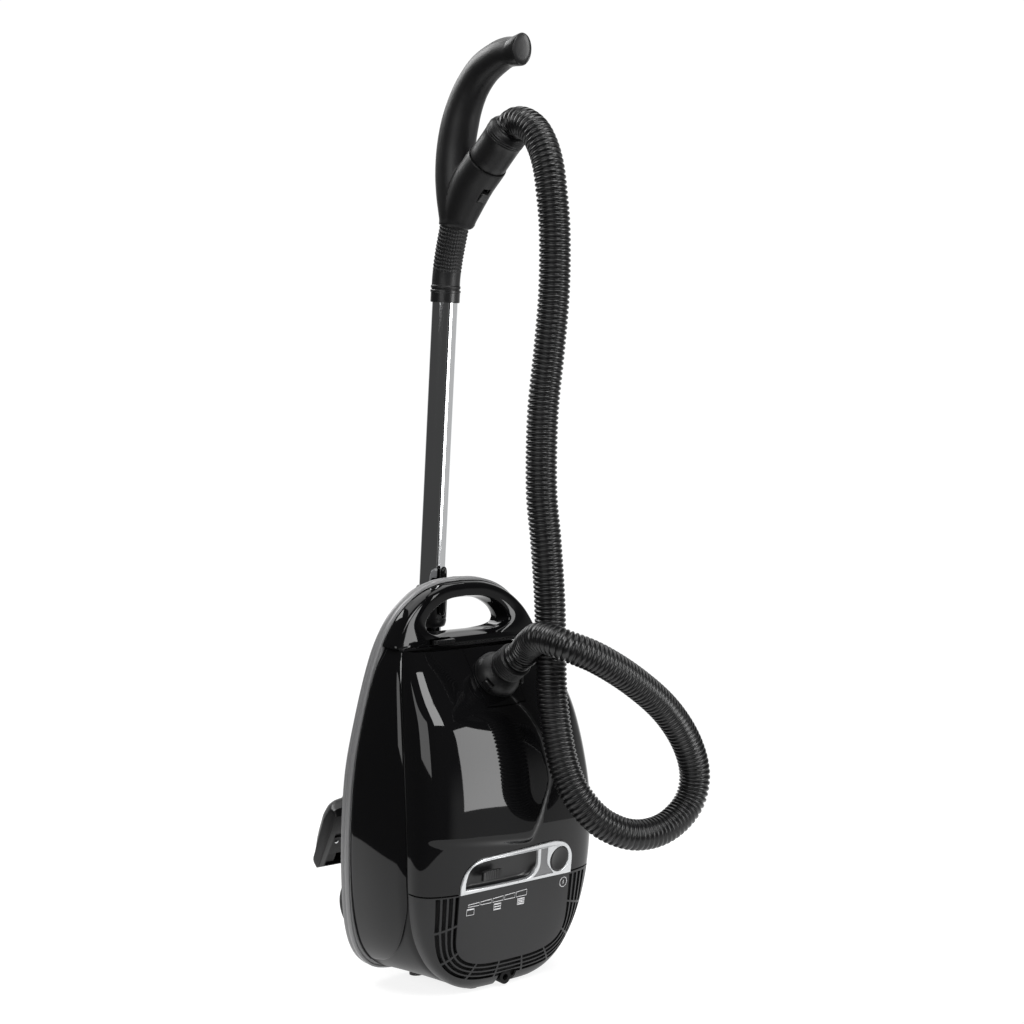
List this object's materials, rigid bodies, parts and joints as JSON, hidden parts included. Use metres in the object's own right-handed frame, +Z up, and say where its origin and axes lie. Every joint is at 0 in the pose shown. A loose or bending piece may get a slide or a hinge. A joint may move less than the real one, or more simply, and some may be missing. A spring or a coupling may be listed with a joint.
{
  "type": "canister vacuum cleaner",
  "caption": "Canister vacuum cleaner parked upright on its rear end, with its wand and floor head hung behind it and the ribbed hose looped in front.",
  "frame": {"origin": "floor level, at the middle of the bounding box's base (the cleaner stands on its rear end)", "axes": "+Z up, -Y is the way the lid faces, +X to the right when looking at the lid; the body and the wand lean 4.5 degrees forward"},
  "size_m": [0.3543, 0.4177, 1.1667],
  "materials": {
    "gloss_black_shell": "high gloss moulded black",
    "satin_black_shell": "fine satin moulded black",
    "matte_black_plastic": "fine grained matt black",
    "trim_black": "satin black small mouldings",
    "hose_vinyl": "ribbed flexible black",
    "grey_strip": "satin dark grey strip",
    "silver_plastic": "silver painted plastic",
    "clear_smoke": "smoky translucent",
    "chrome_tube": "bright chrome plated steel",
    "steel": "plain steel",
    "rubber_black": "black rubber",
    "bristle": "dense black bristle strip",
    "filter_white": "white filter fleece",
    "bag_paper": "brown dust bag paper",
    "board_green": "green circuit board",
    "motor_grey": "grey motor casing"
  },
  "bodies": {
    "cleaner_body": {"main_housing": "satin_black_shell", "base_shell": "matte_black_plastic", "rim_bumper": "grey_strip", "carry_handle": "gloss_black_shell", "side_panel_left": "gloss_black_shell", "side_panel_right": "gloss_black_shell", "control_frame": "silver_plastic", "bag_full_window": "clear_smoke", "control_board": "board_green", "bulkhead": "satin_black_shell", "motor_housing": "motor_grey", "motor_seal": "rubber_black", "fan_cover": "steel", "motor_filter": "filter_white", "exhaust_filter": "filter_white", "bag_holder": "silver_plastic", "dust_bag": "bag_paper", "inlet_seal": "rubber_black", "inlet_bridge": "gloss_black_shell", "hose_socket": "matte_black_plastic", "reel_axle": "steel", "cord_outlet": "matte_black_plastic", "wheel_axle_left": "steel", "wheel_axle_right": "steel", "park_bracket": "trim_black", "foot_front_left": "rubber_black", "foot_front_right": "rubber_black", "foot_rear_left": "rubber_black", "foot_rear_right": "rubber_black", "lower_tube": "chrome_tube", "park_clip": "trim_black", "hose": "hose_vinyl"},
    "lid_body": {"lid": "gloss_black_shell"},
    "lid_release_body": {"lid_release": "trim_black"},
    "grille_body": {"exhaust_grille": "satin_black_shell"},
    "power_slider_body": {"power_slider": "trim_black"},
    "on_off_body": {"on_off_button": "trim_black"},
    "wheel_left_body": {"rear_wheel_left": "rubber_black"},
    "wheel_right_body": {"rear_wheel_right": "rubber_black"},
    "castor_body": {"castor_fork": "trim_black"},
    "castor_wheel_body": {"castor_wheel": "rubber_black"},
    "catch_left_body": {"socket_catch_left": "trim_black"},
    "catch_right_body": {"socket_catch_right": "trim_black"},
    "body_cuff": {"hose_cuff_body_end": "matte_black_plastic"},
    "wand_upper": {"upper_tube": "chrome_tube", "lock_sleeve": "trim_black", "tube_collar": "trim_black", "bent_neck": "matte_black_plastic", "handle_grip": "matte_black_plastic", "grip_end_cap": "trim_black"},
    "lock_slider_body": {"lock_slider": "trim_black"},
    "relief_body": {"relief_slider": "trim_black"},
    "handle_cuff": {"hose_cuff_handle_end": "matte_black_plastic"},
    "nozzle_neck_body": {"nozzle_neck": "trim_black"},
    "nozzle_body": {"nozzle_head": "trim_black", "sole_plate": "trim_black"},
    "pedal_body": {"brush_pedal": "trim_black"},
    "brush_body": {"brush_strip": "bristle"},
    "reel_body": {"cord_reel": "satin_black_shell"},
    "fan_body": {"fan_impeller": "motor_grey"}
  },
  "joints": [
    {"name": "lid_hinge", "type": "hinge", "parent": "cleaner_body", "child": "lid_body", "pos_m": [0, -0.12993, 0.13567], "axis": [1, 0, 0], "range_deg": [0, 75], "deforming": ["hose"]},
    {"name": "lid_release_press", "type": "slide", "parent": "cleaner_body", "child": "lid_release_body", "axis": [0, 0.9969, 0.0785], "range_m": [0, 0.003], "stiffness_N_per_m": 400},
    {"name": "grille_hinge", "type": "hinge", "parent": "cleaner_body", "child": "grille_body", "pos_m": [0, -0.08644, 0.00367], "axis": [1, 0, 0], "range_deg": [0, 20]},
    {"name": "power_slide", "type": "slide", "parent": "cleaner_body", "child": "power_slider_body", "axis": [1, 0, 0], "range_m": [0, 0.05]},
    {"name": "on_off_press", "type": "slide", "parent": "cleaner_body", "child": "on_off_body", "axis": [0, 0.9969, 0.0785], "range_m": [0, 0.003], "stiffness_N_per_m": 500},
    {"name": "rear_wheel_left_spin", "type": "hinge", "parent": "cleaner_body", "child": "wheel_left_body", "pos_m": [-0.1215, 0.02998, 0.0986], "axis": [1, 0, 0], "continuous": true},
    {"name": "rear_wheel_right_spin", "type": "hinge", "parent": "cleaner_body", "child": "wheel_right_body", "pos_m": [0.1215, 0.02998, 0.0986], "axis": [1, 0, 0], "continuous": true},
    {"name": "castor_swivel", "type": "hinge", "parent": "cleaner_body", "child": "castor_body", "pos_m": [0, -0.00002, 0.38413], "axis": [0, 0.9969, 0.0785], "continuous": true},
    {"name": "castor_roll", "type": "hinge", "parent": "castor_body", "child": "castor_wheel_body", "pos_m": [0, 0.01543, 0.38534], "axis": [1, 0, 0], "continuous": true},
    {"name": "catch_left_press", "type": "slide", "parent": "cleaner_body", "child": "catch_left_body", "axis": [0.8829, 0.2591, 0.3915], "range_m": [0, 0.0018], "stiffness_N_per_m": 500},
    {"name": "catch_right_press", "type": "slide", "parent": "cleaner_body", "child": "catch_right_body", "axis": [-0.8829, 0.2591, 0.3915], "range_m": [0, 0.0018], "stiffness_N_per_m": 500},
    {"name": "body_cuff_swivel", "type": "hinge", "parent": "cleaner_body", "child": "body_cuff", "pos_m": [0, -0.0877, 0.38676], "axis": [0, -0.8339, 0.5519], "continuous": true},
    {"name": "wand_telescope", "type": "slide", "parent": "cleaner_body", "child": "wand_upper", "axis": [0, -0.0785, 0.9969], "range_m": [-0.03, 0.2], "deforming": ["hose"]},
    {"name": "lock_slide", "type": "slide", "parent": "wand_upper", "child": "lock_slider_body", "axis": [0, -0.0785, 0.9969], "range_m": [0, 0.006], "stiffness_N_per_m": 300},
    {"name": "relief_slide", "type": "slide", "parent": "wand_upper", "child": "relief_body", "axis": [0, -0.7604, 0.6494], "range_m": [0, 0.006]},
    {"name": "handle_cuff_swivel", "type": "hinge", "parent": "wand_upper", "child": "handle_cuff", "pos_m": [0, -0.07436, 1.01867], "axis": [0, -0.7604, 0.6494], "continuous": true},
    {"name": "nozzle_swivel", "type": "hinge", "parent": "cleaner_body", "child": "nozzle_neck_body", "pos_m": [0, 0.05635, 0.25415], "axis": [0, -0.0785, 0.9969], "range_deg": [-10, 10]},
    {"name": "nozzle_tilt", "type": "hinge", "parent": "nozzle_neck_body", "child": "nozzle_body", "pos_m": [0, 0.09661, 0.21418], "axis": [1, 0, 0], "range_deg": [0, 40]},
    {"name": "brush_pedal_rock", "type": "hinge", "parent": "nozzle_body", "child": "pedal_body", "pos_m": [0, 0.12425, 0.20416], "axis": [1, 0, 0], "range_deg": [0, 10]},
    {"name": "brush_slide", "type": "slide", "parent": "nozzle_body", "child": "brush_body", "axis": [0, -0.8788, -0.4772], "range_m": [0, 0.0032]},
    {"name": "reel_spin", "type": "hinge", "parent": "cleaner_body", "child": "reel_body", "pos_m": [0.056, -0.03958, 0.07106], "axis": [0, 0.9969, 0.0785], "continuous": true},
    {"name": "fan_spin", "type": "hinge", "parent": "cleaner_body", "child": "fan_body", "pos_m": [-0.05, -0.03794, 0.10128], "axis": [0, -0.0785, 0.9969], "continuous": true}
  ],
  "couplings": [
    {"joint": "brush_slide", "follows": "brush_pedal_rock", "m_per_rad": 0.0172}
  ]
}
